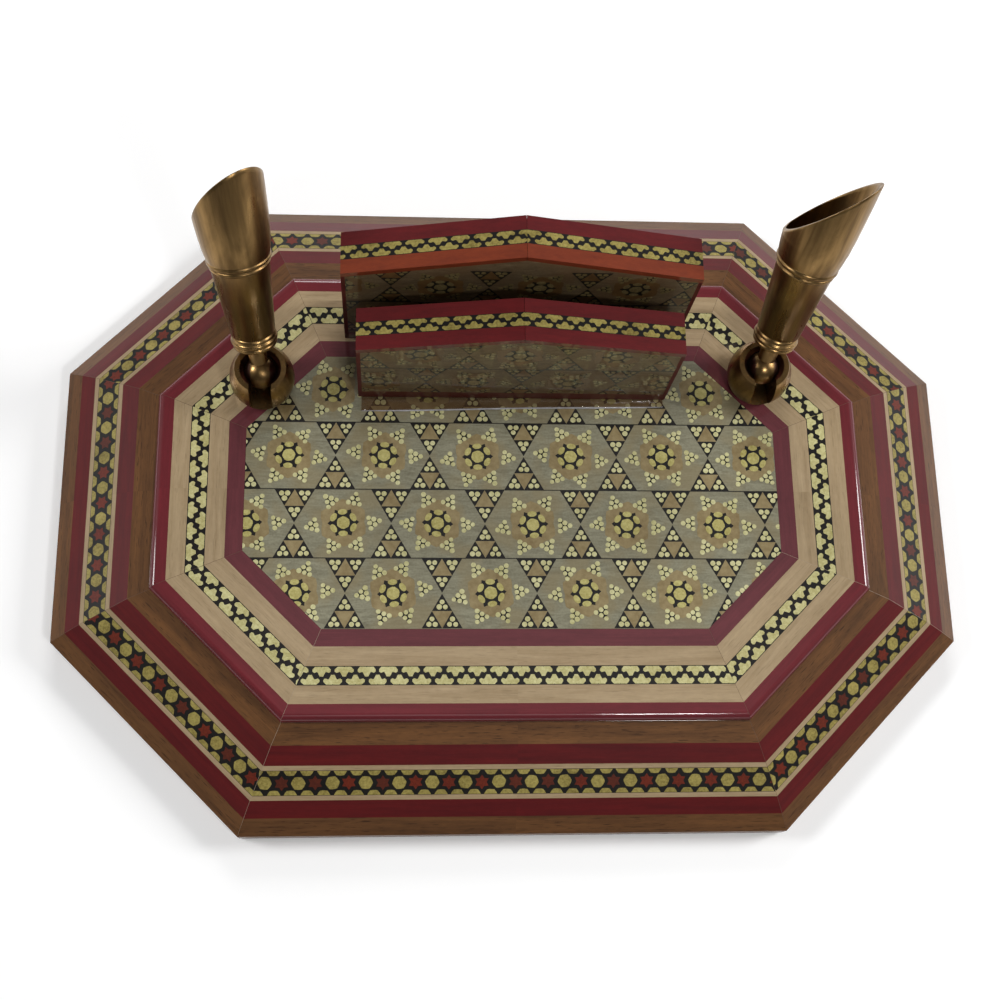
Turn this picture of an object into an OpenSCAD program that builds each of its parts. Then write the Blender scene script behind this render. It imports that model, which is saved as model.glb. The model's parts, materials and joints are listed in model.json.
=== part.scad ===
// Inlaid desk stand: a stepped octagonal base with mitred marquetry bands,
// a two-panel card rack and two pen trumpets on swivel cups.
// Origin: centre of the underside. +X is right, +Y is towards the back, +Z is up.

/* [Base] */
// Overall width of the base, left to right
base_w = 280; // [270:1:300]
// Overall depth of the base, front to back
base_d = 203; // [198:1:215]
// How far each corner is cut back along both sides
corner_cut = 58; // [52:1:62]
// Height of the raised centre above the table
base_h = 26; // [25:0.5:32]
// Thickness of the felt under the base
felt_t = 1; // [0.5:0.5:2]
// Thickness of the board that everything stands on
board_t = 8; // [7:0.5:9]
// Thickness of every inlaid band and veneer on the base
inlay_t = 2; // [1.5:0.1:2.5]

/* [Sloping border, from the outside in] */
// Width of the walnut rim
rim_w = 4.9; // [4:0.1:6]
// Rise of the walnut rim's sloping top
rim_rise = 3.9; // [3:0.1:4.5]
// Width of the outer crimson band
outer_red_w = 4.8; // [4:0.1:6]
// Rise of the outer crimson band
outer_red_rise = 3.2; // [2:0.1:3.5]
// Width of each thin pale line beside the star strip
line_w = 1.3; // [1:0.1:1.6]
// Width of the star strip
star_w = 6.9; // [6:0.1:8]
// Rise of the star strip with its two pale lines
star_rise = 4.6; // [3:0.1:5]
// Width of the inner crimson band
inner_red_w = 5.5; // [4.5:0.1:6.5]
// Rise of the inner crimson band
inner_red_rise = 2.7; // [1:0.1:3]
// Width of the walnut band at the foot of the raised centre
walnut_w = 6.5; // [5:0.1:7.5]
// Rise of that walnut band
walnut_rise = 0.9; // [0.5:0.1:1.2]

/* [Raised centre, from the outside in] */
// Width of the round-edged crimson band
edge_w = 5; // [4:0.1:6]
// Radius of its rounded edge
edge_r = 2.2; // [1:0.1:2.4]
// Width of the outer pale band
outer_pale_w = 5.4; // [4.5:0.1:6.5]
// Width of the tooth strip
tooth_w = 5.7; // [5:0.1:6.5]
// Width of the inner pale band
inner_pale_w = 5.8; // [5:0.1:6.5]
// Width of the crimson border round the centre panel
border_w = 5.2; // [4.5:0.1:6]
// Number of veneer rows in the centre panel
panel_rows = 4; // [3:1:5]

/* [Card rack] */
// Thickness of each rack panel
panel_t = 13; // [11:0.5:13.5]
// Thickness of the veneer on the panels' faces
face_t = 1; // [0.6:0.1:1.5]
// Thickness of the edging on the panels' tops
top_t = 2.2; // [1.5:0.1:3]
// Thickness of the edging on the panels' ends
end_t = 1.2; // [0.8:0.1:2]
// Height of the dark strip along each panel's foot
foot_h = 4.6; // [3:0.1:6]
// Width of the front panel
front_w = 95.6; // [90:0.2:100]
// Height of the front panel at its ends
front_shoulder = 37; // [32:0.5:42]
// Height of the front panel at its peak
front_peak = 46; // [43:0.5:52]
// Distance of the front panel's face behind the centre
front_y = 30; // [28:0.5:31]
// Width of the back panel
back_w = 104.4; // [100:0.2:108]
// Height of the back panel at its ends
back_shoulder = 46; // [42:0.5:52]
// Height of the back panel at its peak
back_peak = 58.5; // [53:0.5:66]
// Distance of the back panel's face behind the centre
back_y = 49.5; // [48.5:0.5:52]

/* [Pen holders] */
// Distance of each holder from the middle, to the side
pen_x = 76.8; // [75:0.1:78]
// Distance of the left holder behind the centre
left_pen_y = 33.4; // [32:0.1:37]
// Distance of the right holder behind the centre
right_pen_y = 36.6; // [32:0.1:38]
// Radius of the ball under each trumpet
ball_r = 5; // [4.9:0.1:5.2]
// Radius of the neck between ball and trumpet
neck_r = 2.8; // [2.5:0.1:2.9]
// Height of the ball's centre above the base
ball_h = 11; // [10.5:0.1:11.5]
// Height of the cup
cup_h = 14; // [13.6:0.1:14.4]
// Width of the slot in the cup's front
slot_w = 6.7; // [6.4:0.1:7]
// Lean of the left trumpet from upright, in degrees
left_lean = 34; // [28:0.5:36]
// Direction of the left trumpet's lean, in degrees from +X
left_lean_dir = 101; // [90:1:105]
// Turn of the left trumpet's slanted mouth, in degrees
left_mouth_turn = -52; // [-180:1:180]
// Lean of the right trumpet from upright, in degrees
right_lean = 31; // [28:0.5:36]
// Direction of the right trumpet's lean, in degrees from +X
right_lean_dir = 72; // [70:1:90]
// Turn of the right trumpet's slanted mouth, in degrees
right_mouth_turn = -36; // [-180:1:180]
// Distance from the ball's centre to the short side of the mouth
mouth_low = 46; // [44:0.5:52]
// Distance from the ball's centre to the tip of the mouth
mouth_high = 71; // [69:0.5:74]
// Radius of the straight bore that holds a pen
pen_bore_r = 4.6; // [4:0.1:4.8]

/* [Fixings] */
// Radius of the bolt under each cup
bolt_r = 2; // [1.5:0.1:2.2]
// Radial clearance of a bolt that turns in its hole
turn_fit = 0.08; // [0.05:0.01:0.1]
// Radius of the rack screws' shanks
screw_r = 1.75; // [1.5:0.05:2]
// Distance of the rack screws from the middle
screw_x = 32; // [20:1:40]

/* [Hidden] */
$fn = 96;
eps = 0.05;            // half the glue line between two mitred bars
body_gap = 0.12;       // air between a turning cup and the base
fillet_fn = 48;

half_w = base_w / 2;
half_d = base_d / 2;
board_top = felt_t + board_t;
half_mitre = 22.5;

lower_w = [rim_w, outer_red_w, line_w, star_w, line_w, inner_red_w, walnut_w];
strip_w = star_w + 2 * line_w;
lower_rise = [rim_rise, outer_red_rise, star_rise * line_w / strip_w, star_rise * star_w / strip_w,
              star_rise * line_w / strip_w, inner_red_rise, walnut_rise];
upper_w = [edge_w, outer_pale_w, tooth_w, inner_pale_w, border_w];

function total(list, count) = count <= 0 ? 0 : list[count - 1] + total(list, count - 1);

step_h = 2.7;
rim_z = base_h - step_h - total(lower_rise, 7);
function lower_inset(i) = total(lower_w, i);
function lower_z(i) = rim_z + total(lower_rise, i);
centre_inset = lower_inset(7);
function upper_inset(i) = centre_inset + total(upper_w, i);
inlay_z = base_h - inlay_t;
core_top = lower_z(7) - inlay_t;

cup_bulge_r = 12.8;    // radius of the cup wall's barrel curve
cup_bulge_x = -3;      // centre of that curve, from the cup's axis
cup_bulge_z = 7;
socket_fit = 0.08;
socket_lip = 1.5;      // height of the socket's lip above the ball's centre
cup_mouth_r = 6.2;
cup_z = base_h + body_gap;
ball_z = base_h + ball_h;

neck_end = 9.6;        // distances along a trumpet, from its ball's centre
stud_end = 13.4;
ferrule_end = 15.2;
barrel_end = 38;
bore_low = ferrule_end + 2;
sleeve_top = 37;
wall = 0.8;            // thickness of the trumpet's wall
mouth_r = 11.2;
ferrule_r = 5.9;       // radius of the ferrule's rounded shoulder
ferrule_round = 2.4;
ferrule_low_r = 6.5;
barrel = [[6.6, ferrule_end], [8.6, barrel_end]];    // outer radius at each distance
flare = [[8.9, 39.6], [9.6, 42.8], [10.1, 46.5], [10.7, 54], [11, 63], [mouth_r, mouth_high + 2]];
ferrule_beads = [[5.75, 11.1, 0.85], [6, 12.7, 0.95]];    // centre radius, distance, bead radius
trumpet_beads = [[8.2, 38.4, 0.75], [8.6, 40.2, 0.85]];
liner_t = 1.1;
flange_r = 7.55;
flange_t = 1.5;

recess_r = 5.6;        // nut recess under the base
recess_h = 5.4;
nut_h = 3.2;
nut_r = 4;
washer_r = 5;
washer_t = 0.8;
washer_z = felt_t + recess_h - 0.1 - washer_t;
bolt_low = felt_t + 0.3;
bolt_top = cup_z + 3.4;
cup_floor = 2.2;       // thickness of the cup's floor in the slot
screw_head_r = 3.4;
screw_head_h = 2.4;
screw_up = 24;         // how far a rack screw's hole reaches into its panel
screw_short = 2;       // how much shorter the screw is
screw_fit = 0.05;
head_fit = 0.1;

// ---- octagon geometry ----

function corners(inset) =
    let (a = half_w - inset, b = half_d - inset)
    let (c = corner_cut - inset * (2 - sqrt(2)))
    [[a, -b + c], [a, b - c], [a - c, b], [-a + c, b],
     [-a, b - c], [-a, -b + c], [-a + c, -b], [a - c, -b]];

function side_mid(i) = (corners(0)[i] + corners(0)[(i + 1) % 8]) / 2;
function side_half(i) = norm(corners(0)[(i + 1) % 8] - corners(0)[i]) / 2;

module octagon(inset) {
    polygon(corners(inset));
}

module octagon_plate(inset, z, t) {
    translate([0, 0, z])
        linear_extrude(t)
            octagon(inset);
}

// One bar per side, with its ends cut to the mitre lines. The children are the bar's section,
// drawn with x as the inset from the rim and y as the height.
module mitred_frame() {
    past_ends = 10;
    for (i = [0 : 7])
        translate(side_mid(i))
            rotate([0, 0, 45 * i])
                intersection() {
                    rotate([90, 0, 0])
                        linear_extrude(2 * side_half(i) + past_ends, center = true)
                            mirror([1, 0])
                                children();
                    linear_extrude(base_h + past_ends)
                        mitre_wedge(side_half(i) - eps);
                }
}

// The part of the plan between a side's two mitre lines, from just outside the rim inwards.
module mitre_wedge(half) {
    outside = 2;
    inside = 62;
    wide = half + outside * tan(half_mitre);
    narrow = half - inside * tan(half_mitre);
    polygon([[outside, -wide], [outside, wide], [-inside, narrow], [-inside, -narrow]]);
}

// Section of a sloping band between boundary i and the next one.
module slope_section(i) {
    x0 = lower_inset(i);
    x1 = lower_inset(i + 1);
    z0 = lower_z(i);
    z1 = lower_z(i + 1);
    polygon([[x0, z0 - inlay_t], [x1, z1 - inlay_t], [x1, z1], [x0, z0]]);
}

module flat_section(i) {
    translate([upper_inset(i), inlay_z])
        square([upper_w[i], inlay_t]);
}

// ---- holes through the base ----

module holder_holes() {
    for (side = [0, 1])
        translate([holder_x(side), holder_y(side), 0]) {
            cylinder(r = bolt_r + turn_fit, h = base_h + 10);
            translate([0, 0, felt_t - 1])
                cylinder(r = recess_r, h = recess_h + 1);
        }
}

module rack_holes() {
    for (x = [-screw_x, screw_x], y = [front_y, back_y])
        translate([x, y + panel_t / 2, 0]) {
            cylinder(r = screw_r, h = base_h + screw_up);
            translate([0, 0, felt_t - 1])
                cylinder(r = screw_head_r, h = screw_head_h + 1);
        }
}

function holder_x(side) = side == 0 ? -pen_x : pen_x;
function holder_y(side) = side == 0 ? left_pen_y : right_pen_y;

// ---- base ----

module felt_pad() {
    color("darkslategray")
        octagon_plate(2.5, 0, felt_t);
}

module base_board() {
    color("burlywood")
        difference() {
            octagon_plate(rim_w, felt_t, board_t);
            holder_holes();
            rack_holes();
        }
}

module walnut_rim() {
    color("saddlebrown")
        mitred_frame()
            polygon([[0, felt_t], [rim_w, felt_t], [rim_w, lower_z(1)], [0, rim_z]]);
}

module slope_core() {
    inner_x = upper_inset(1);
    sloping_top = [for (i = [1, 2, 5, 6, 7]) [lower_inset(i), lower_z(i) - inlay_t]];
    color("burlywood")
        mitred_frame()
            polygon(concat([[rim_w, board_top]], sloping_top, [[inner_x, core_top], [inner_x, board_top]]));
}

module outer_red_band() {
    color("firebrick")
        mitred_frame() slope_section(1);
}

module outer_pale_line() {
    color("wheat")
        mitred_frame() slope_section(2);
}

module star_strip() {
    color("goldenrod")
        mitred_frame() slope_section(3);
}

module inner_pale_line() {
    color("wheat")
        mitred_frame() slope_section(4);
}

module inner_red_band() {
    color("firebrick")
        mitred_frame() slope_section(5);
}

module walnut_band() {
    color("saddlebrown")
        mitred_frame() slope_section(6);
}

module centre_board() {
    color("burlywood")
        difference() {
            octagon_plate(upper_inset(1), board_top, inlay_z - board_top);
            holder_holes();
            rack_holes();
        }
}

module raised_red_edge() {
    x0 = centre_inset;
    color("firebrick")
        mitred_frame() {
            translate([x0, core_top])
                square([edge_w, base_h - edge_r - core_top]);
            translate([x0 + edge_r, core_top])
                square([edge_w - edge_r, base_h - core_top]);
            translate([x0 + edge_r, base_h - edge_r])
                circle(r = edge_r, $fn = fillet_fn);
        }
}

module outer_pale_band() {
    color("wheat")
        mitred_frame() flat_section(1);
}

module tooth_strip() {
    color("goldenrod")
        difference() {
            mitred_frame() flat_section(2);
            rack_holes();
        }
}

module inner_pale_band() {
    color("wheat")
        difference() {
            mitred_frame() flat_section(3);
            holder_holes();
        }
}

module red_border() {
    color("firebrick")
        difference() {
            mitred_frame() flat_section(4);
            holder_holes();
        }
}

module centre_panel_rows() {
    inset = upper_inset(5);
    depth = base_d - 2 * inset;
    pitch = depth / panel_rows;
    color("tan")
        difference() {
            for (i = [0 : panel_rows - 1])
                translate([0, 0, inlay_z])
                    linear_extrude(inlay_t)
                        intersection() {
                            octagon(inset + eps);
                            translate([-half_w, i * pitch - depth / 2 + eps])
                                square([base_w, pitch - 2 * eps]);
                        }
            rack_holes();
        }
}

// ---- card rack ----
// A panel is drawn in its own X-Z plane, from its foot up, then set back to its place.

function slope_of(w, shoulder, peak) = (peak - shoulder) / (w / 2);

module stand_up(y, t) {
    translate([0, y + t, base_h])
        rotate([90, 0, 0])
            linear_extrude(t)
                children();
}

module gable(w, shoulder, peak, low = 0) {
    half = w / 2 - end_t;
    side_h = shoulder - top_t + end_t * slope_of(w, shoulder, peak);
    polygon([[-half, low], [half, low], [half, side_h], [0, peak - top_t], [-half, side_h]]);
}

module panel_board(w, shoulder, peak, y) {
    difference() {
        stand_up(y + face_t, panel_t - 2 * face_t)
            gable(w, shoulder, peak);
        rack_holes();
    }
}

// One strip of the top edging: two lengths that meet at the peak.
module top_edging(w, shoulder, peak, y, lane) {
    lane_t = panel_t / 3;
    for (side = [-1, 1])
        stand_up(y + lane * lane_t, lane_t)
            polygon([[side * w / 2, shoulder], [side * eps, peak], [side * eps, peak - top_t],
                     [side * w / 2, shoulder - top_t]]);
}

module panel_ends(w, shoulder, peak, y) {
    rise = end_t * slope_of(w, shoulder, peak);
    for (side = [-1, 1])
        stand_up(y, panel_t)
            polygon([[side * w / 2, 0], [side * (w / 2 - end_t), 0],
                     [side * (w / 2 - end_t), shoulder - top_t + rise], [side * w / 2, shoulder - top_t]]);
}

module foot_strip(w, y) {
    stand_up(y, face_t)
        translate([end_t - w / 2, 0])
            square([w - 2 * end_t, foot_h]);
}

module front_panel_board() {
    color("burlywood")
        panel_board(front_w, front_shoulder, front_peak, front_y);
}

module front_panel_face() {
    color("tan")
        stand_up(front_y, face_t)
            gable(front_w, front_shoulder, front_peak, foot_h);
}

module front_panel_rear_face() {
    color("tan")
        stand_up(front_y + panel_t - face_t, face_t)
            gable(front_w, front_shoulder, front_peak);
}

module front_foot_strip() {
    color("maroon")
        foot_strip(front_w, front_y);
}

module front_top_red_near() {
    color("firebrick")
        top_edging(front_w, front_shoulder, front_peak, front_y, 0);
}

module front_top_strip() {
    color("goldenrod")
        top_edging(front_w, front_shoulder, front_peak, front_y, 1);
}

module front_top_red_far() {
    color("firebrick")
        top_edging(front_w, front_shoulder, front_peak, front_y, 2);
}

module front_panel_ends() {
    color("maroon")
        panel_ends(front_w, front_shoulder, front_peak, front_y);
}

module back_panel_board() {
    color("burlywood")
        panel_board(back_w, back_shoulder, back_peak, back_y);
}

module back_panel_face() {
    color("tan")
        stand_up(back_y, face_t)
            gable(back_w, back_shoulder, back_peak, foot_h);
}

module back_panel_rear_face() {
    color("tan")
        stand_up(back_y + panel_t - face_t, face_t)
            gable(back_w, back_shoulder, back_peak);
}

module back_foot_strip() {
    color("maroon")
        foot_strip(back_w, back_y);
}

module back_top_amber_near() {
    color("sienna")
        top_edging(back_w, back_shoulder, back_peak, back_y, 0);
}

module back_top_strip() {
    color("goldenrod")
        top_edging(back_w, back_shoulder, back_peak, back_y, 1);
}

module back_top_red_far() {
    color("firebrick")
        top_edging(back_w, back_shoulder, back_peak, back_y, 2);
}

module back_panel_ends() {
    color("maroon")
        panel_ends(back_w, back_shoulder, back_peak, back_y);
}

module rack_screws() {
    head_z = felt_t + head_fit;
    color("silver")
        for (x = [-screw_x, screw_x], y = [front_y, back_y])
            translate([x, y + panel_t / 2, head_z]) {
                cylinder(r = screw_head_r - head_fit, h = screw_head_h - head_fit);
                cylinder(r = screw_r - screw_fit, h = base_h + screw_up - screw_short - head_z);
            }
}

// ---- pen holders: side 0 is the left one ----

module at_cup(side) {
    translate([holder_x(side), holder_y(side), 0])
        children();
}

// The wall follows one barrel curve, the socket opens out above its lip, and the slot runs down its front.
module cup(side) {
    lip_r = sqrt(pow(ball_r + socket_fit, 2) - pow(socket_lip, 2));
    at_cup(side)
        difference() {
            translate([0, 0, cup_z])
                rotate_extrude()
                    intersection() {
                        translate([cup_bulge_x, cup_bulge_z])
                            circle(r = cup_bulge_r);
                        square([cup_bulge_r, cup_h]);
                    }
            translate([0, 0, ball_z])
                sphere(r = ball_r + socket_fit);
            translate([0, 0, ball_z + socket_lip])
                cylinder(r1 = lip_r, r2 = cup_mouth_r, h = cup_z + cup_h - ball_z - socket_lip);
            translate([-slot_w / 2, -cup_bulge_r, cup_z + cup_floor])
                cube([slot_w, cup_bulge_r, cup_h]);
            translate([0, 0, cup_z - 1])
                cylinder(r = bolt_r, h = ball_h);
        }
}

module cup_bolt(side) {
    at_cup(side)
        translate([0, 0, bolt_low])
            cylinder(r = bolt_r, h = bolt_top - bolt_low);
}

module cup_washer(side) {
    at_cup(side)
        translate([0, 0, washer_z])
            difference() {
                cylinder(r = washer_r, h = washer_t);
                translate([0, 0, -1])
                    cylinder(r = bolt_r, h = washer_t + 2);
            }
}

module cup_nut(side) {
    at_cup(side)
        translate([0, 0, washer_z - nut_h])
            difference() {
                cylinder(r = nut_r, h = nut_h, $fn = 6);
                translate([0, 0, -1])
                    cylinder(r = bolt_r, h = nut_h + 2);
            }
}

// Stands a trumpet's parts, drawn along +Z from the ball's centre, in their leaning place.
module on_ball(side) {
    lean = side == 0 ? left_lean : right_lean;
    lean_dir = side == 0 ? left_lean_dir : right_lean_dir;
    mouth_turn = side == 0 ? left_mouth_turn : right_mouth_turn;
    translate([holder_x(side), holder_y(side), ball_z])
        rotate([0, 0, lean_dir])
            rotate([0, lean, 0])
                rotate([0, 0, mouth_turn - lean_dir])
                    children();
}

module ball_stud(side) {
    on_ball(side) {
        sphere(r = ball_r);
        cylinder(r = neck_r, h = neck_end);
        cylinder(r = bolt_r, h = stud_end);
    }
}

module beads(list) {
    for (bead = list)
        translate([bead[0], bead[1]])
            circle(r = bead[2], $fn = fillet_fn);
}

// Round-shouldered cap with two beads, bored for the stud's threaded end.
module ferrule(side) {
    flat_r = ferrule_r - ferrule_round;
    round_top = neck_end + ferrule_round;
    on_ball(side)
        difference() {
            rotate_extrude() {
                translate([0, neck_end])
                    square([flat_r, ferrule_end - neck_end]);
                translate([flat_r, round_top])
                    circle(r = ferrule_round, $fn = fillet_fn);
                translate([0, round_top])
                    square([ferrule_low_r, ferrule_end - round_top]);
                beads(ferrule_beads);
            }
            translate([0, 0, neck_end - 1])
                cylinder(r = bolt_r, h = stud_end + 1 - neck_end);
        }
}

// A thin flared tube with two beads, cut off on a slant.
module trumpet(side) {
    outside = concat(barrel, flare);
    inside = [for (i = [len(outside) - 1 : -1 : 0]) [outside[i][0] - wall, outside[i][1]]];
    slant = atan((mouth_high - mouth_low) / (2 * mouth_r));
    cutter = 100;
    on_ball(side)
        difference() {
            rotate_extrude() {
                polygon(concat(outside, inside));
                beads(trumpet_beads);
            }
            translate([0, 0, (mouth_low + mouth_high) / 2])
                rotate([0, -slant, 0])
                    translate([-cutter / 2, -cutter / 2, 0])
                        cube([cutter, cutter, cutter / 2]);
        }
}

// Black sleeve that grips the pen: a straight bore with a flange at its top.
module pen_liner(side) {
    low = ferrule_end + 0.3;
    on_ball(side)
        difference() {
            union() {
                translate([0, 0, low])
                    cylinder(r = pen_bore_r + liner_t, h = sleeve_top - low);
                translate([0, 0, sleeve_top - flange_t])
                    cylinder(r = flange_r, h = flange_t);
            }
            translate([0, 0, bore_low])
                cylinder(r = pen_bore_r, h = sleeve_top);
        }
}

module left_cup() { color("darkgoldenrod") cup(0); }
module left_cup_bolt() { color("silver") cup_bolt(0); }
module left_cup_washer() { color("silver") cup_washer(0); }
module left_cup_nut() { color("silver") cup_nut(0); }
module left_ball_stud() { color("gold") ball_stud(0); }
module left_ferrule() { color("darkgoldenrod") ferrule(0); }
module left_trumpet() { color("darkgoldenrod") trumpet(0); }
module left_pen_liner() { color("black") pen_liner(0); }

module right_cup() { color("darkgoldenrod") cup(1); }
module right_cup_bolt() { color("silver") cup_bolt(1); }
module right_cup_washer() { color("silver") cup_washer(1); }
module right_cup_nut() { color("silver") cup_nut(1); }
module right_ball_stud() { color("gold") ball_stud(1); }
module right_ferrule() { color("darkgoldenrod") ferrule(1); }
module right_trumpet() { color("darkgoldenrod") trumpet(1); }
module right_pen_liner() { color("black") pen_liner(1); }

felt_pad();
base_board();
walnut_rim();
slope_core();
outer_red_band();
outer_pale_line();
star_strip();
inner_pale_line();
inner_red_band();
walnut_band();
centre_board();
raised_red_edge();
outer_pale_band();
tooth_strip();
inner_pale_band();
red_border();
centre_panel_rows();
front_panel_board();
front_panel_face();
front_panel_rear_face();
front_foot_strip();
front_top_red_near();
front_top_strip();
front_top_red_far();
front_panel_ends();
back_panel_board();
back_panel_face();
back_panel_rear_face();
back_foot_strip();
back_top_amber_near();
back_top_strip();
back_top_red_far();
back_panel_ends();
rack_screws();
left_cup();
left_cup_bolt();
left_cup_washer();
left_cup_nut();
left_ball_stud();
left_ferrule();
left_trumpet();
left_pen_liner();
right_cup();
right_cup_bolt();
right_cup_washer();
right_cup_nut();
right_ball_stud();
right_ferrule();
right_trumpet();
right_pen_liner();
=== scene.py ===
import json
import math
import random

import bpy
from mathutils import Matrix, Vector


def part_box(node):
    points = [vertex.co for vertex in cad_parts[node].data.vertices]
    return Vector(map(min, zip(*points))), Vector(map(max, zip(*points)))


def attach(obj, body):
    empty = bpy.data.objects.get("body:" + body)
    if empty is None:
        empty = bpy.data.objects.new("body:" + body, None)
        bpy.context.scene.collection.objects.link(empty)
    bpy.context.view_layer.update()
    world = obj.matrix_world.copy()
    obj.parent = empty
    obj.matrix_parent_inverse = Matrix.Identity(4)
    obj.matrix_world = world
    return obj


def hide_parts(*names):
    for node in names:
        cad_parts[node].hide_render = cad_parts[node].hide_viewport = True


# Inlaid desk stand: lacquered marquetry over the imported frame, with turned brass pen holders.

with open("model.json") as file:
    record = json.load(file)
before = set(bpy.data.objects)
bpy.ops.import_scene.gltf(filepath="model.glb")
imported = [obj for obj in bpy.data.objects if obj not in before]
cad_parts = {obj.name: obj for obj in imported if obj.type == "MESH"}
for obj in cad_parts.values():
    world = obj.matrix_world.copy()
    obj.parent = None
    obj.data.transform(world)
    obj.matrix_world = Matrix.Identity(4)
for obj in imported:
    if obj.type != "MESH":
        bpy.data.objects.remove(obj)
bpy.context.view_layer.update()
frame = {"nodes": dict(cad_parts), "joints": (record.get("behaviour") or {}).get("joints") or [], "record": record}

MM = 0.001
CORNER_CUT = 58 * MM        # how far the base's corners are cut back along both sides
INLAY = 2 * MM              # thickness of every band on the base
TOP_EDGING = 2.2 * MM       # thickness of the edging on the rack's tops
MITRE = math.tan(math.radians(22.5))
GLUE_LINE = 0.1 * MM        # gap between two mitred bars
COAT_ROUGHNESS = 0.07       # of the clear lacquer
random.seed(7)

rim_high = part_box("walnut_rim")[1]
HALF_W, HALF_D = rim_high.x, rim_high.y
TOP_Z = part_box("centre_panel_rows")[1].z


# ---------------------------------------------------------------- colours and materials

def srgb(r, g, b):
    """An 8-bit screen colour as the linear colour that shaders use."""
    def linear(c):
        c /= 255
        return c / 12.92 if c <= 0.04045 else ((c + 0.055) / 1.055) ** 2.4
    return (linear(r), linear(g), linear(b), 1.0)


class Graph:
    """One material's nodes, with short calls for the few kinds used here."""

    def __init__(self, name):
        self.material = bpy.data.materials.new(name)
        self.material.use_nodes = True
        self.tree = self.material.node_tree
        self.tree.nodes.clear()
        out = self.tree.nodes.new("ShaderNodeOutputMaterial")
        self.shader = self.tree.nodes.new("ShaderNodeBsdfPrincipled")
        self.tree.links.new(self.shader.outputs[0], out.inputs["Surface"])
        self.place = self.tree.nodes.new("ShaderNodeTexCoord").outputs["Object"]

    def node(self, kind, inputs, **settings):
        n = self.tree.nodes.new("ShaderNode" + kind)
        for key, value in settings.items():
            setattr(n, key, value)
        for key, value in inputs.items():
            self.feed(n.inputs[key], value)
        return n

    def feed(self, socket, value):
        if isinstance(value, bpy.types.NodeSocket):
            self.tree.links.new(value, socket)
        else:
            socket.default_value = value

    def math(self, operation, a, b=0.0, c=0.0):
        return self.node("Math", {0: a, 1: b, 2: c}, operation=operation).outputs[0]

    def scaled(self, vector, factors):
        return self.node("VectorMath", {0: vector, 1: factors}, operation="MULTIPLY").outputs[0]

    def noise(self, vector, detail=2.0, roughness=0.5, distortion=0.0):
        values = {"Vector": vector, "Scale": 1.0, "Detail": detail, "Roughness": roughness,
                  "Distortion": distortion}
        return self.node("TexNoise", values).outputs["Fac"]

    def ramp(self, factor, low, high):
        """0 below low, 1 above high."""
        return self.node("MapRange", {"Value": factor, "From Min": low, "From Max": high}).outputs[0]

    def mix(self, factor, a, b, blend="MIX"):
        n = self.node("Mix", {0: factor, 6: a, 7: b}, data_type="RGBA", blend_type=blend)
        return n.outputs[2]

    def shade(self, colour, factor):
        """colour times a grey factor."""
        grey = self.node("CombineColor", {0: factor, 1: factor, 2: factor}).outputs[0]
        return self.mix(1.0, colour, grey, "MULTIPLY")

    def bump(self, height, distance, strength=1.0):
        values = {"Height": height, "Distance": distance, "Strength": strength}
        return self.node("Bump", values).outputs["Normal"]

    def set(self, **values):
        for key, value in values.items():
            self.feed(self.shader.inputs[key.replace("_", " ")], value)

    def lacquer(self, roughness=COAT_ROUGHNESS, weight=1.0):
        """A thick clear coat over whatever lies below it."""
        self.set(Coat_Weight=weight, Coat_Roughness=roughness, Coat_IOR=1.5, Specular_IOR_Level=0.15)


def bar_coordinates(g):
    """Along, across and up for the bar that a point is in, on a ring of eight mitred bars. Each bar's
    grain is shifted by its own amount, so that no two look alike."""
    x, y, z = g.node("SeparateXYZ", {0: g.place}).outputs
    size_x, size_y = g.math("ABSOLUTE", x), g.math("ABSOLUTE", y)
    half_root = math.sqrt(0.5)
    out_x = g.math("SUBTRACT", size_x, HALF_W)
    out_y = g.math("SUBTRACT", size_y, HALF_D)
    apothem = (HALF_W + HALF_D - CORNER_CUT) * half_root
    out_d = g.math("MULTIPLY_ADD", g.math("ADD", size_x, size_y), half_root, -apothem)
    across = g.math("MAXIMUM", g.math("MAXIMUM", out_x, out_y), out_d)
    is_x = g.math("COMPARE", out_x, across, 1e-7)
    is_y = g.math("COMPARE", out_y, across, 1e-7)
    is_d = g.math("SUBTRACT", 1.0, g.math("ADD", is_x, is_y))
    along_d = g.math("MULTIPLY", g.math("SUBTRACT", size_x, size_y), half_root)
    along = g.math("MULTIPLY", is_x, y)
    along = g.math("MULTIPLY_ADD", is_y, x, along)
    along = g.math("MULTIPLY_ADD", is_d, along_d, along)
    quarter = g.math("MULTIPLY", g.math("SIGN", y), 0.57)
    quarter = g.math("MULTIPLY_ADD", g.math("SIGN", x), 0.31, quarter)
    shift = g.math("MULTIPLY_ADD", is_y, 0.23, g.math("MULTIPLY", is_d, 0.41))
    shift = g.math("ADD", quarter, shift)
    shifted = {0: g.math("ADD", along, shift), 1: across, 2: g.math("ADD", z, shift)}
    return g.node("CombineXYZ", shifted).outputs[0]


def straight_coordinates(g):
    """Grain along X."""
    return g.place


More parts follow.
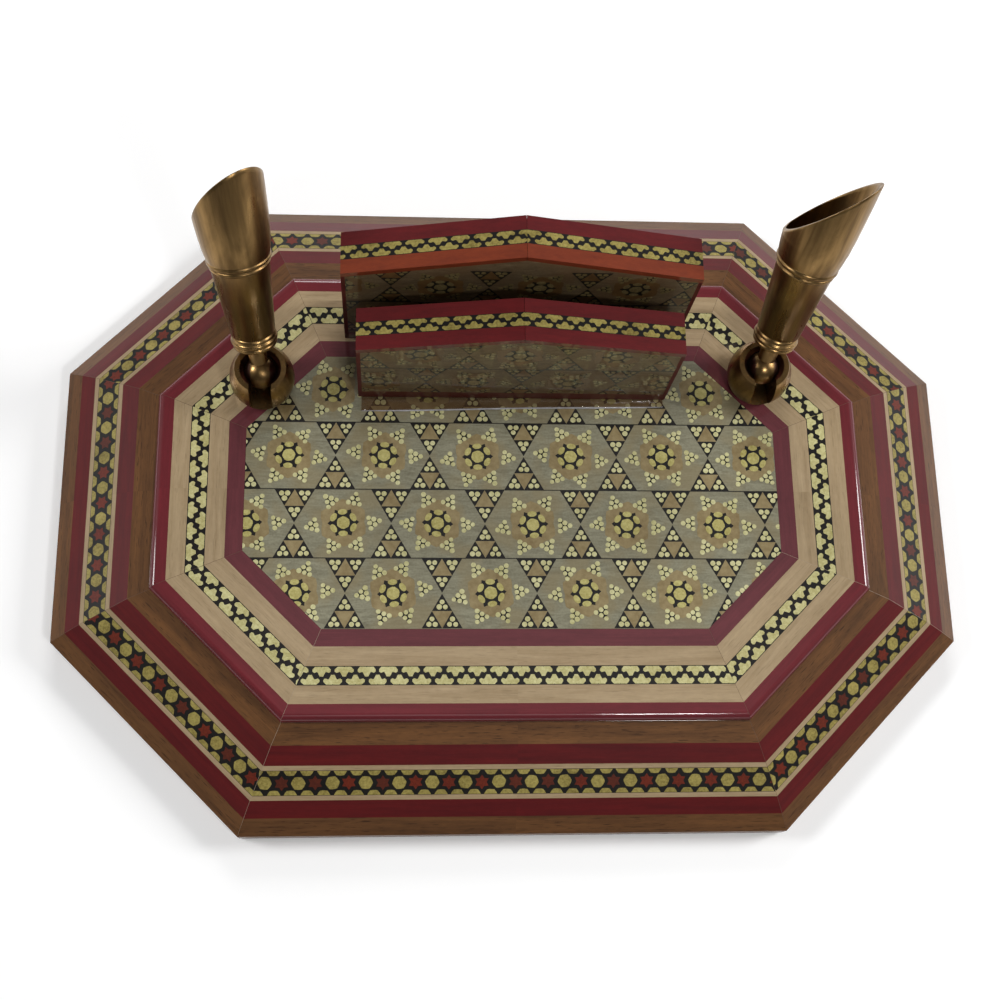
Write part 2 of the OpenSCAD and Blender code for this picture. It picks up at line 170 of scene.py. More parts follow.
def wood(name, light, dark, coordinates, figure=0.5, pores=0.0, roughness=0.5, coat=1.0):
    """Lacquered wood or dyed veneer: streaks and fibres that run along the bar, and dark pores."""
    g = Graph(name)
    where = coordinates(g)
    streaks = g.noise(g.scaled(where, (28, 420, 420)), 5.0, 0.6, 0.6)
    fibres = g.noise(g.scaled(where, (170, 2600, 2600)), 3.0, 0.6)
    flecks = g.noise(g.scaled(where, (500, 900, 900)), 2.0, 0.5)
    clouds = g.noise(g.scaled(where, (55, 90, 90)), 2.0, 0.5)
    tone = g.math("MULTIPLY_ADD", streaks, 0.55, g.math("MULTIPLY", fibres, 0.25))
    tone = g.math("ADD", tone, g.math("MULTIPLY", clouds, 0.2))
    spread = 0.22 * figure + 0.05
    colour = g.mix(g.ramp(tone, 0.5 - spread, 0.5 + spread), dark, light)
    colour = g.shade(colour, g.math("MULTIPLY_ADD", flecks, 0.22, 0.89))
    if pores:
        dashes = g.noise(g.scaled(where, (260, 3400, 3400)), 1.0, 0.5)
        hole = g.math("MULTIPLY", g.ramp(dashes, 0.62, 0.72), pores)
        pore_colour = tuple(c * 0.35 for c in dark[:3]) + (1.0,)
        colour = g.mix(hole, colour, pore_colour)
    g.set(Base_Color=colour, Roughness=roughness)
    g.set(Normal=g.bump(fibres, 0.02 * MM, 0.35))
    g.lacquer(weight=coat)
    return g.material


def tile_colour(name, colour, other, speckle=1400, roughness=0.45):
    """Small mosaic pieces: a colour with fine end-grain speckle and slow drifts from piece to piece."""
    g = Graph(name)
    fine = g.noise(g.scaled(g.place, (speckle, speckle, speckle)), 3.0, 0.65)
    slow = g.noise(g.scaled(g.place, (110, 110, 110)), 2.0, 0.5)
    tone = g.math("MULTIPLY_ADD", fine, 0.6, g.math("MULTIPLY", slow, 0.4))
    g.set(Base_Color=g.mix(g.ramp(tone, 0.34, 0.66), other, colour), Roughness=roughness)
    g.set(Normal=g.bump(fine, 0.02 * MM, 0.3))
    g.lacquer()
    return g.material


def bone(name, light, dark, warm, coat=1.0):
    """The rosettes' ground: thin bone slips, greyish with soft veins and warmer patches."""
    g = Graph(name)
    veins = g.noise(g.scaled(g.place, (160, 700, 700)), 4.0, 0.6, 1.2)
    patches = g.noise(g.scaled(g.place, (85, 85, 85)), 2.0, 0.5)
    fine = g.noise(g.scaled(g.place, (1500, 1500, 1500)), 2.0, 0.5)
    tone = g.math("MULTIPLY_ADD", veins, 0.7, g.math("MULTIPLY", fine, 0.3))
    colour = g.mix(g.ramp(tone, 0.32, 0.68), dark, light)
    colour = g.mix(g.math("MULTIPLY", g.ramp(patches, 0.45, 0.62), 0.55), colour, warm)
    g.set(Base_Color=colour, Roughness=0.45)
    g.lacquer(weight=coat)
    return g.material


def brass(name, bright, dull, ball=None, reach=0.0, unshaded_half_width=0.0):
    """Turned brass: smudges along its axis, faint lathe lines, and painted shade within reach of the
    ball's centre, where the socket lies in shadow, apart from a stripe down the ball that it leaves bright."""
    g = Graph(name)
    clouds = g.noise(g.scaled(g.place, (150, 150, 45)), 4.0, 0.6, 0.5)
    smudges = g.noise(g.scaled(g.place, (420, 420, 26)), 3.0, 0.55, 0.3)
    lathe = g.noise(g.scaled(g.place, (12, 12, 2600)), 2.0, 0.5)
    specks = g.noise(g.scaled(g.place, (900, 900, 900)), 3.0, 0.6)
    tone = g.math("MULTIPLY_ADD", clouds, 0.55, g.math("MULTIPLY", smudges, 0.45))
    colour = g.mix(g.ramp(tone, 0.38, 0.62), dull, bright)
    colour = g.mix(g.math("MULTIPLY", g.ramp(specks, 0.66, 0.76), 0.4), colour, srgb(84, 62, 42))
    # painted shade: darken the brass near the ball's centre, apart from a bright stripe down the ball
    if ball:
        away = g.node("VectorMath", {0: g.place, 1: ball}, operation="DISTANCE").outputs["Value"]
        unshaded = g.ramp(away, reach - SOCKET_SHADE_FADE, reach)
        if unshaded_half_width:
            x = g.node("SeparateXYZ", {0: g.place}).outputs[0]
            aside = g.math("ABSOLUTE", g.math("SUBTRACT", x, ball.x))
            unshaded = g.math("MAXIMUM", unshaded, g.ramp(aside, unshaded_half_width, unshaded_half_width - SOCKET_SHADE_FADE))
        colour = g.mix(unshaded, PAINTED_SOCKET_SHADE, colour)
    g.set(Base_Color=colour, Metallic=1.0)
    worn = {"Value": tone, "From Min": 0.35, "From Max": 0.65, "To Min": 0.42, "To Max": 0.24}
    g.set(Roughness=g.node("MapRange", worn).outputs[0])
    g.set(Normal=g.bump(g.math("MULTIPLY_ADD", smudges, 0.6, lathe), 0.012 * MM, 0.3))
    return g.material


def ball_place(hand):
    """Centre of one holder's ball, which its tilt joint turns about."""
    return Vector(next(j for j in frame["joints"] if j["name"] == f"{hand}_pen_tilt")["pos_m"])


def plain_part(name, colour, other, scale, roughness, metallic=0.0, depth=0.05):
    """Felt, steel and moulded plastic: two tones of noise with a matching bump."""
    g = Graph(name)
    grain = g.noise(g.scaled(g.place, (scale, scale, scale)), 4.0, 0.6)
    g.set(Base_Color=g.mix(grain, colour, other), Roughness=roughness, Metallic=metallic)
    g.set(Normal=g.bump(grain, depth * MM, 0.5))
    return g.material


def lacquer_film():
    """Thick brownish lacquer that has run down the rack and lies in front of it."""
    g = Graph("lacquer_film")
    cloud = g.noise(g.scaled(g.place, (60, 200, 200)), 2.0, 0.5)
    g.set(Base_Color=g.mix(cloud, srgb(98, 70, 40), srgb(122, 92, 58)), Roughness=0.3, Alpha=0.42)
    g.lacquer(0.03)
    return g.material


PALE_LIGHT, PALE_DARK = srgb(182, 160, 127), srgb(140, 118, 86)
RED_LIGHT, RED_DARK = srgb(102, 21, 22), srgb(74, 14, 17)
RACK_LIGHT, RACK_DARK = srgb(96, 22, 20), srgb(66, 14, 14)
WALNUT_LIGHT, WALNUT_DARK = srgb(120, 80, 44), srgb(64, 40, 22)
BRASS_BRIGHT, BRASS_DULL = srgb(160, 128, 82), srgb(112, 88, 56)
# dark colour painted on the ball and the inside of its cup as shade, where the socket lies in shadow
PAINTED_SOCKET_SHADE = srgb(84, 58, 48)
SOCKET_SHADE_FADE = 0.5 * MM     # width over which the painted shade fades out
CUP_SHADE_REACH, STUD_SHADE_REACH = 7.1 * MM, 5.6 * MM      # how far from the ball's centre the painted shade reaches
UNSHADED_STRIPE = 3.1 * MM           # half width of the stripe down the ball that the painted shade leaves bright

materials = {
    "pale_wood": wood("pale_wood", PALE_LIGHT, PALE_DARK, bar_coordinates, 0.9, 0.25),
    "crimson": wood("crimson_veneer", RED_LIGHT, RED_DARK, bar_coordinates, 0.7),
    "walnut": wood("walnut", WALNUT_LIGHT, WALNUT_DARK, bar_coordinates, 0.8, 0.7),
    "worn_walnut": wood("worn_walnut", WALNUT_LIGHT, WALNUT_DARK, bar_coordinates, 0.9, 0.7, 0.6, 0.4),
    "border_crimson": wood("border_crimson", srgb(108, 50, 56), srgb(84, 38, 43), bar_coordinates, 0.7),
    "edge_crimson": wood("edge_crimson", srgb(114, 34, 42), srgb(88, 26, 32), bar_coordinates, 0.7),
    "outer_crimson": wood("outer_crimson", RED_LIGHT, RED_DARK, bar_coordinates, 0.7, 0.0, 0.5, 0.6),
    "core_wood": wood("core_wood", PALE_LIGHT, PALE_DARK, straight_coordinates, 0.6, 0.3, 0.7),
    "rack_red": wood("rack_red", srgb(104, 22, 24), srgb(76, 15, 18), straight_coordinates, 0.8),
    "rack_dark": wood("rack_dark_red", RACK_LIGHT, RACK_DARK, straight_coordinates, 0.8),
    "rack_end": wood("rack_end_red", RACK_LIGHT, RACK_DARK, straight_coordinates, 0.8, 0.0, 0.6, 0.2),
    # lighter orange copy of the rack's red for the back panel's near top strip: painted reflection of warm light
    # on its glossy top
    "amber": wood("amber_edging", srgb(134, 56, 26), srgb(100, 38, 20), straight_coordinates, 0.8),
    "bone": bone("bone_ground", srgb(146, 143, 120), srgb(110, 106, 86), srgb(134, 120, 86)),
    # darker copy of the bone ground for the rack's upright faces: painted shade
    "shaded_bone": bone("shaded_bone_ground", srgb(118, 100, 74), srgb(82, 68, 48), srgb(100, 76, 50), 0.45),
    "brass_tile": tile_colour("brass_tile", srgb(198, 190, 124), srgb(150, 138, 74)),
    "gold_tile": tile_colour("gold_tile", srgb(172, 158, 88), srgb(112, 98, 46)),
    "dot_tile": tile_colour("bone_dot_tile", srgb(212, 208, 160), srgb(172, 166, 112)),
    "tooth_tile": tile_colour("tooth_tile", srgb(208, 203, 150), srgb(164, 154, 96)),
    "black_tile": tile_colour("black_tile", srgb(28, 24, 20), srgb(14, 12, 11)),
    "tan_tile": tile_colour("tan_tile", srgb(152, 136, 98), srgb(124, 106, 70), 500),
    "orange_tile": tile_colour("orange_tile", srgb(116, 42, 22), srgb(84, 28, 16)),
    # darker copies of the dot and tan tiles for the rack's upright faces: painted shade
    "shaded_dot_tile": tile_colour("shaded_dot_tile", srgb(134, 118, 78), srgb(92, 78, 48)),
    "shaded_tan_tile": tile_colour("shaded_tan_tile", srgb(112, 84, 48), srgb(84, 60, 34), 500),
    "russet_tile": tile_colour("russet_tile", srgb(96, 40, 24), srgb(68, 28, 18)),
    "brass": brass("antique_brass", BRASS_BRIGHT, BRASS_DULL),
    "steel": plain_part("steel_fixings", srgb(150, 150, 152), srgb(120, 120, 124), 900, 0.35, 1.0, 0.01),
    "liner": plain_part("pen_liner_black", srgb(22, 22, 22), srgb(32, 31, 30), 1200, 0.5),
    "felt": plain_part("green_felt", srgb(34, 58, 44), srgb(52, 80, 60), 2400, 0.95, 0.0, 0.3),
    "glue": plain_part("glue_line", srgb(70, 48, 34), srgb(104, 78, 58), 600, 0.5),
    "pale_glue": plain_part("pale_glue_line", srgb(176, 160, 140), srgb(140, 120, 100), 600, 0.5),
    "film": lacquer_film(),
    # pale bluish colour of the pool's front lip: a painted highlight
    "lip": tile_colour("lip_painted_highlight", srgb(206, 206, 212), srgb(150, 146, 150), 700, 0.3),
}
for hand in ("left", "right"):
    for part, reach, unshaded_half_width in (("cup", CUP_SHADE_REACH, 0.0), ("stud", STUD_SHADE_REACH, UNSHADED_STRIPE)):
        name = f"{hand}_{part}_brass"
        materials[name] = brass(name, BRASS_BRIGHT, BRASS_DULL, ball_place(hand), reach, unshaded_half_width)

NODE_FINISH = {
    "felt_pad": "felt", "base_board": "core_wood", "slope_core": "core_wood", "centre_board": "core_wood",
    "walnut_rim": "worn_walnut", "walnut_band": "walnut",
    "outer_red_band": "outer_crimson", "inner_red_band": "crimson", "raised_red_edge": "edge_crimson",
    "red_border": "border_crimson",
    "outer_pale_line": "pale_wood", "inner_pale_line": "pale_wood", "outer_pale_band": "pale_wood",
    "inner_pale_band": "pale_wood",
    "star_strip": "black_tile", "tooth_strip": "black_tile", "centre_panel_rows": "bone",
    "rack_screws": "steel",
}
for panel in ("front", "back"):
    NODE_FINISH.update({
        f"{panel}_panel_board": "core_wood",
        f"{panel}_panel_face": "shaded_bone", f"{panel}_panel_rear_face": "shaded_bone",
        f"{panel}_foot_strip": "rack_dark", f"{panel}_panel_ends": "rack_end",
        f"{panel}_top_strip": "black_tile", f"{panel}_top_red_far": "rack_red",
    })
NODE_FINISH["front_top_red_near"] = "rack_red"
# the back panel's near top strip takes the rack's red with a painted reflection
NODE_FINISH["back_top_amber_near"] = "amber"
for hand in ("left", "right"):
    NODE_FINISH.update({f"{hand}_{part}": "steel" for part in ("cup_bolt", "cup_washer", "cup_nut")})
    NODE_FINISH.update({f"{hand}_{part}": "brass" for part in ("ferrule", "trumpet")})
    NODE_FINISH[f"{hand}_cup"] = f"{hand}_cup_brass"
    NODE_FINISH[f"{hand}_ball_stud"] = f"{hand}_stud_brass"
    NODE_FINISH[f"{hand}_pen_liner"] = "liner"
for node, finish in NODE_FINISH.items():
    slots = frame["nodes"][node].data.materials
    slots.clear()
    slots.append(materials[finish])


# ---------------------------------------------------------------- shared mesh helpers

def piece(name, verts, faces, finish, body, slot, smooth=False, at=None):
    """A new mesh object that rides on a body."""
    mesh = bpy.data.meshes.new(name)
    mesh.from_pydata([tuple(v) for v in verts], [], faces)
    mesh.materials.append(materials[finish])
    mesh.validate()
    for polygon in mesh.polygons:
        polygon.use_smooth = smooth
    made = bpy.data.objects.new(name, mesh)
    bpy.context.scene.collection.objects.link(made)
    if at is not None:
        made.matrix_world = at
    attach(made, body)
    return made


def inset_of(node):
    """How far a ring's outer edge lies inside the rim's."""
    return HALF_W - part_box(node)[1].x


def octagon(inset):
    """Corners of the base's octagon moved in by inset, anticlockwise from the right side's front end."""
    a, b = HALF_W - inset, HALF_D - inset
    c = CORNER_CUT - inset * (2 - math.sqrt(2))
    half = [(a, c - b), (a, b - c), (a - c, b), (c - a, b)]
    return half + [(-x, -y) for x, y in half]


def side_frame(i):
    """Middle, outward normal, tangent and half length of side i at the rim."""
    p, q = octagon(0)[i], octagon(0)[(i + 1) % 8]
    p, q = Vector((p[0], p[1], 0)), Vector((q[0], q[1], 0))
    angle = math.radians(45 * i)
    normal = Vector((math.cos(angle), math.sin(angle), 0))
    tangent = Vector((-math.sin(angle), math.cos(angle), 0))
    return (p + q) / 2, normal, tangent, (q - p).length / 2


# ---------------------------------------------------------------- mosaic of thin tiles

def clipped(outline, region):
    """The part of an outline inside a convex anticlockwise region, both as (u, v) points."""
    for a, b in zip(region, region[1:] + region[:1]):
        du, dv = b[0] - a[0], b[1] - a[1]
        sides = [du * (p[1] - a[1]) - dv * (p[0] - a[0]) for p in outline]
        kept = []
        for k, p in enumerate(outline):
            q, sp, sq = outline[(k + 1) % len(outline)], sides[k], sides[(k + 1) % len(outline)]
            if sp >= 0:
                kept.append(p)
            if (sp > 0 > sq) or (sp < 0 < sq):
                t = sp / (sp - sq)
                kept.append((p[0] + (q[0] - p[0]) * t, p[1] + (q[1] - p[1]) * t))
        outline = kept
        if len(outline) < 3:
            return []
    return outline


def area(outline):
    """Signed area, positive for an anticlockwise outline."""
    pairs = zip(outline, outline[1:] + outline[:1])
    return sum(p[0] * q[1] - q[0] * p[1] for p, q in pairs) / 2


def round_shape(u, v, radius, corners=14, turn=0.0, squash=1.0, tilt=0.0, hexed=0.0):
    """A disc, an ellipse squashed across its tilt, or a disc that leans towards a hexagon."""
    points = []
    for k in range(corners):
        t = 2 * math.pi * k / corners
        r = radius * (1 + hexed * math.cos(6 * (t - turn)))
        a, b = r * math.cos(t), r * math.sin(t) * squash
        along = a * math.cos(tilt) - b * math.sin(tilt)
        across = a * math.sin(tilt) + b * math.cos(tilt)
        points.append((u + along, v + across))
    return points


def star_shape(u, v, outer, inner, turn=0.0):
    """Six-pointed star."""
    points = 6
    made = []
    for k in range(2 * points):
        r = inner if k % 2 else outer
        t = turn + math.pi * k / points
        made.append((u + r * math.cos(t), v + r * math.sin(t)))
    return made


def triangle(u, v, radius, turn):
    """Equilateral triangle round a centre, with one corner towards turn."""
    turns = [turn + k * 2 * math.pi / 3 for k in range(3)]
    return [(u + radius * math.cos(t), v + radius * math.sin(t)) for t in turns]


class Mosaic:
    """Collects tiles by finish, and makes one mesh of thin closed tiles from each."""

    SUNK = 0.25 * MM            # how far a tile reaches below the strip's surface
    SMALLEST = 0.03 * MM * MM   # clipped tiles under this area are left out

    def __init__(self, name, slot):
        self.name, self.slot = name, slot
        self.verts, self.faces = {}, {}

    def lay(self, finish, outline, lift, surface, regions):
        """Adds one tile, clipped to every region, where surface places (u, v, height) in space."""
        for region in regions:
            outline = clipped(outline, region) if outline else []
        if len(outline) < 3 or area(outline) < self.SMALLEST:
            return
        verts = self.verts.setdefault(finish, [])
        faces = self.faces.setdefault(finish, [])
        first, n = len(verts), len(outline)
        verts += [surface(u, v, lift) for u, v in outline]
        verts += [surface(u, v, -self.SUNK) for u, v in outline]
        faces.append(tuple(range(first, first + n)))
        faces.append(tuple(range(first + 2 * n - 1, first + n - 1, -1)))
        for k in range(n):
            j = (k + 1) % n
            faces.append((first + n + k, first + n + j, first + j, first + k))

    def build(self):
        for finish in self.verts:
            piece(f"{self.name}_{finish}", self.verts[finish], self.faces[finish], finish, "root", self.slot)


LIFT = 0.03 * MM            # each layer of tiles stands this much higher than the one below it
HEX_STEP = 4.87 * MM        # spacing of the discs and stars in the star strip
STAR_OUTER, STAR_INNER = 2.25 * MM, 1.4 * MM        # the strip's stars, at their points and between them
DISC_R, HALF_DISC_R = 2.0 * MM, 2.05 * MM           # the strip's discs, down its middle and along its edges
RUSSET_SHARE = 0.3          # share of the stars that are darker
TOOTH_STEP = 6.5 * MM       # spacing of the toothed pieces in the tooth strip
ROSETTE_STEP = 28.75 * MM   # spacing of the rosettes in a row
# The rack's upright faces lie in shade, so darker copies of these finishes are painted there as shade.
SHADED_FINISHES = {"dot_tile": "shaded_dot_tile", "brass_tile": "shaded_dot_tile", "tan_tile": "shaded_tan_tile"}
ROW_H = (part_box("centre_panel_rows")[1].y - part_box("centre_panel_rows")[0].y) / 4


def wobble(amount):
    """A small random shift, as hand-laid tiles have."""
    return random.uniform(-amount, amount)


def rectangle(u0, v0, u1, v1):
    """Corners of a rectangle, anticlockwise."""
    return [(u0, v0), (u1, v0), (u1, v1), (u0, v1)]


def lay_star_strip(mosaic, surface, region, half, width):
    """Discs and red stars in turn down the middle, with half discs along both edges."""
    inner = [(u, min(max(v, 0.15 * MM), width - 0.15 * MM)) for u, v in region]
    row = HEX_STEP * math.sqrt(3) / 2
    steps = int(half / HEX_STEP) + 2
    phase = wobble(HEX_STEP)
    for k in range(-steps, steps + 1):
        u, v = phase + k * HEX_STEP + wobble(0.12 * MM), width / 2 + wobble(0.1 * MM)
        if k % 2:
            finish = "russet_tile" if random.random() < RUSSET_SHARE else "orange_tile"
            star = star_shape(u, v, STAR_OUTER, STAR_INNER, math.pi / 2)
            mosaic.lay(finish, star, LIFT, surface, [inner])
        else:
            disc = round_shape(u, v, DISC_R, 18, tilt=wobble(0.2), hexed=0.05)
            mosaic.lay("gold_tile", disc, LIFT, surface, [inner])
        for edge in (-1, 1):
            at_u, at_v = phase + (k + 0.5) * HEX_STEP + wobble(0.12 * MM), width / 2 + edge * row
            disc = round_shape(at_u, at_v, HALF_DISC_R, 18, hexed=0.05)
            mosaic.lay("gold_tile", disc, LIFT, surface, [inner])


def lay_tooth_strip(mosaic, surface, region, half, width, finish="tooth_tile"):
    """Two rows of three-lobed pieces, half a step apart, each with a tooth that points to the other row."""
    inner = [(u, min(max(v, 0.12 * MM), width - 0.12 * MM)) for u, v in region]
    steps = int(half / TOOTH_STEP) + 2
    phase = wobble(TOOTH_STEP)
    bar, tip = 0.31 * width, 0.545 * width
    for k in range(-steps, steps + 1):
        for flip in (False, True):
            u = phase + (k + 0.5 * flip) * TOOTH_STEP + wobble(0.1 * MM)
            low, short, wide = 0.04 * width, (1.95 + wobble(0.12)) * MM, (2.68 + wobble(0.1)) * MM
            neck, notch, tooth = 1.05 * MM, 0.12 * MM, 0.5 * MM
            right = [(notch, low), (short, low), (wide, low + 0.45 * bar), (wide, low + 0.8 * bar),
                     (wide - 0.5 * MM, low + 1.02 * bar), (neck + 0.25 * MM, low + 0.86 * bar),
                     (neck, low + bar), (tooth, tip)]
            left = [(-x, y) for x, y in reversed(right)]
            shape = left[-2:] + [(0, low + 0.1 * bar)] + right + left[:-2]
            if flip:
                shape = [(x, width - y) for x, y in reversed(shape)]
            mosaic.lay(finish, [(u + x, y) for x, y in shape], LIFT, surface, [inner])


def lay_dots(lay, u, v, spacing, radius, turn, corners_only):
    """Three dots in a triangle, and unless corners_only the three between them."""
    reach = spacing / math.sqrt(3) if corners_only else 2 * spacing / math.sqrt(3)
    spots = [(reach * (1 + wobble(0.06)), turn + k * 2 * math.pi / 3) for k in range(3)]
    if not corners_only:
        spots += [(reach / 2, turn + math.pi + k * 2 * math.pi / 3) for k in range(3)]
    for r, t in spots:
        size = radius * (1 + wobble(0.1))
        dot = round_shape(u + r * math.cos(t), v + r * math.sin(t), size, 10, tilt=wobble(1))
        lay("dot_tile", dot, 2)


def lay_rosette(lay, u, v):
    """Disc, six petals round it on a black star, a tan patch and six small clusters of dots."""
    turn = wobble(0.11)
    lay("tan_tile", round_shape(u, v, 6.9 * MM, 24, math.pi / 6, tilt=turn, hexed=0.09), 1)
    lay("black_tile", star_shape(u, v, 4.75 * MM, 3.3 * MM, turn), 2)
    lay("brass_tile", round_shape(u, v, 1.95 * MM, 16, tilt=wobble(1), hexed=0.04), 3)
    for k in range(6):
        t = turn + math.radians(30 + 60 * k) + wobble(0.05)
        r = 3.38 * MM
        at_u, at_v = u + r * math.cos(t), v + r * math.sin(t)
        petal = round_shape(at_u, at_v, 1.42 * MM, squash=0.62, tilt=t + math.pi / 2)
        lay("brass_tile", petal, 3)
        t = turn + math.radians(60 * k) + wobble(0.09)
        r = ((9.1 if k % 3 == 0 else 7.9) + wobble(0.3)) * MM
        cu, cv, lean = u + r * math.cos(t), v + r * math.sin(t), t + wobble(0.25)
        lay("black_tile", triangle(cu, cv, 2.55 * MM, lean), 1)
        lay_dots(lay, cu, cv, 1.7 * MM, 0.75 * MM, lean, False)


def lay_hourglass(lay, u, v, height):
    """Two triangles that meet tip to tip at mid row, each of three dotted black ones round a tan one."""
    side = height / 2 / math.cos(math.radians(30)) - 0.3 * MM
    radius = side / 2 / math.sqrt(3)
    for way in (-1, 1):
        turn = -way * math.pi / 2
        cv = v + way * (height / 2 - radius - 0.12 * MM)
        lay("tan_tile", triangle(u, cv, radius - 0.05 * MM, turn + math.pi), 1)
        for k in range(3):
            t = turn + k * 2 * math.pi / 3
            su, sv = u + radius * math.cos(t), cv + radius * math.sin(t)
            lay("black_tile", triangle(su, sv, radius - 0.03 * MM, turn), 1)
            lay_dots(lay, su, sv, 1.8 * MM, 0.8 * MM, turn, True)


def lay_rosette_rows(mosaic, surface, region, starts, v0, u_reach, on_shaded_face=False):
    """Rows of rosettes and hourglasses from v0 up. starts holds each row's rosette offset along u."""
    for i, start in enumerate(starts):
        low, high = v0 + i * ROW_H, v0 + (i + 1) * ROW_H
        band = rectangle(-2 * u_reach, low + 0.06 * MM, 2 * u_reach, high - 0.06 * MM)

        def lay(finish, outline, layer):
            # on the rack's faces, swap in the darker copies that paint shade
            if on_shaded_face:
                finish = SHADED_FINISHES.get(finish, finish)
            mosaic.lay(finish, outline, layer * LIFT, surface, [region, band])

        count = int(u_reach / ROSETTE_STEP) + 2
        for k in range(-count, count + 1):
            u, middle = start + k * ROSETTE_STEP, (low + high) / 2
            lay_rosette(lay, u + wobble(0.35 * MM), middle + wobble(0.25 * MM))
            lay_hourglass(lay, u + ROSETTE_STEP / 2 + wobble(0.25 * MM), middle, ROW_H)
        seam = rectangle(-2 * u_reach, high - 0.14 * MM, 2 * u_reach, high + 0.14 * MM)
        if i < len(starts) - 1:
            mosaic.lay("black_tile", seam, LIFT, surface, [region])


# ---------------------------------------------------------------- inlay on the base

def ring_surface(i, inset, z, width, rise):
    """Place of (along, across, height) on side i of a band whose outer edge has that inset and height."""
    mid, normal, tangent, half = side_frame(i)
    length = math.hypot(width, rise)
    cos, sin = width / length, rise / length
    up = Vector((normal.x * sin, normal.y * sin, cos))

    def surface(u, v, h):
        flat = mid + tangent * u - normal * (inset + v * cos)
        return flat + Vector((0, 0, z + v * sin)) + up * h

    near = half - inset * MITRE - GLUE_LINE / 2
    far = near - width * MITRE
    region = [(-near, 0), (near, 0), (far, length), (-far, length)]
    return surface, region, near, length


def inlay_ring(name, slot, node, inner_node, lay_strip):
    """Lays one strip pattern on all eight bars of a ring."""
    low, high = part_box(node)
    inset = inset_of(node)
    width = inset_of(inner_node) - inset
    rise = high.z - low.z - INLAY
    mosaic = Mosaic(name, slot)
    for i in range(8):
        surface, region, half, length = ring_surface(i, inset, low.z + INLAY, width, rise)
        lay_strip(mosaic, surface, region, half, length)
    mosaic.build()


inlay_ring("star_strip_inlay", "star_inlay", "star_strip", "inner_pale_line", lay_star_strip)
inlay_ring("tooth_strip_inlay", "tooth_inlay", "tooth_strip", "inner_pale_band", lay_tooth_strip)


def flat_surface(u, v, h):
    """Place of (x, y, height) on the raised centre's top."""
    return Vector((u, v, TOP_Z + h))


def inlay_centre(row_starts):
    """The centre panel's rows of rosettes. row_starts holds each row's offset in mm, from the front."""
    low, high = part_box("centre_panel_rows")
    mosaic = Mosaic("centre_panel_inlay", "rosette_inlay")
    starts = [start * MM for start in row_starts]
    lay_rosette_rows(mosaic, flat_surface, octagon(HALF_W - high.x), starts, low.y, high.x)
    mosaic.build()


inlay_centre((-7.9, 5.5, -11.2, 2.1))


# ---------------------------------------------------------------- inlay on the card rack

def face_region(node):
    """Outline of a panel's face in its own plane: a gable over the foot strip."""
    low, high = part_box(node)
    corners = frame["nodes"][node].data.vertices
    shoulder = max(v.co.z for v in corners if abs(v.co.x) > high.x - 0.1 * MM)
    return [(low.x, low.z), (high.x, low.z), (high.x, shoulder), (0, high.z), (low.x, shoulder)]


def inlay_face(name, node, rear, starts, first_row):
    """Rows of rosettes on a panel's front or rear face, the first from first_row above the base, in mm."""
    low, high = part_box(node)
    plane = high.y if rear else low.y
    way = 1 if rear else -1

    def surface(u, v, h):
        return Vector((-way * u, plane + way * h, v))

    region = [(-way * u, v) for u, v in face_region(node)]
    if way > 0:
        region.reverse()
    mosaic = Mosaic(name, "rosette_inlay")
    starts = [start * MM for start in starts]
    lay_rosette_rows(mosaic, surface, region, starts, TOP_Z + first_row * MM, high.x, on_shaded_face=True)
    mosaic.build()


inlay_face("front_face_inlay", "front_panel_face", False, (-12.7, -0.8), 2.1)
inlay_face("front_rear_inlay", "front_panel_rear_face", True, (4.0, -9.5), 1.2)
inlay_face("back_face_inlay", "back_panel_face", False, (6.0, -9.5, 5.0), -15.4)
inlay_face("back_rear_inlay", "back_panel_rear_face", True, (-3.0, 11.0, -2.0), -4.0)


def inlay_gable(name, node):
    """The tooth strip along both slopes of a panel's top."""
    low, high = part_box(node)
    shoulder, width = low.z + TOP_EDGING, high.y - low.y
    mosaic = Mosaic(name, "tooth_inlay")
    for way in (-1, 1):
        foot, peak = Vector((way * high.x, low.y, shoulder)), Vector((0, low.y, high.z))
        along = (peak - foot) * -way
        length = along.length
        along.normalize()
        up = Vector((-along.z, 0, along.x))
        start = foot if way < 0 else peak

        def surface(u, v, h):
            return start + along * u + Vector((0, v, 0)) + up * h

        region = rectangle(0, 0, length, width)
        lay_tooth_strip(mosaic, surface, region, length, width, "gold_tile")
    mosaic.build()


inlay_gable("front_top_inlay", "front_top_strip")
inlay_gable("back_top_inlay", "back_top_strip")


# ---------------------------------------------------------------- glue lines and run lacquer

RIM_FALL = 3.9 * MM         # how far the rim's slope falls to its outer edge
EDGE_R = 2.2 * MM           # rounding of the raised red edge


def ring_profile():
    """Height of the base's top at each inset, from the rim in to the centre panel."""
    points = [(inset_of("walnut_rim"), rim_high.z - RIM_FALL)]
    for node in ("outer_red_band", "outer_pale_line", "star_strip", "inner_pale_line", "inner_red_band",
                 "walnut_band"):
        points.append((inset_of(node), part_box(node)[0].z + INLAY))
    edge_inset, edge_top = inset_of("raised_red_edge"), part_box("raised_red_edge")[1].z
    points.append((edge_inset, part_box("walnut_band")[1].z))
    for k in range(5):
        t = math.radians(22.5 * k)
        points.append((edge_inset + EDGE_R * (1 - math.cos(t)), edge_top - EDGE_R * (1 - math.sin(t))))
    points.append((inset_of("centre_panel_rows"), TOP_Z))
    return points


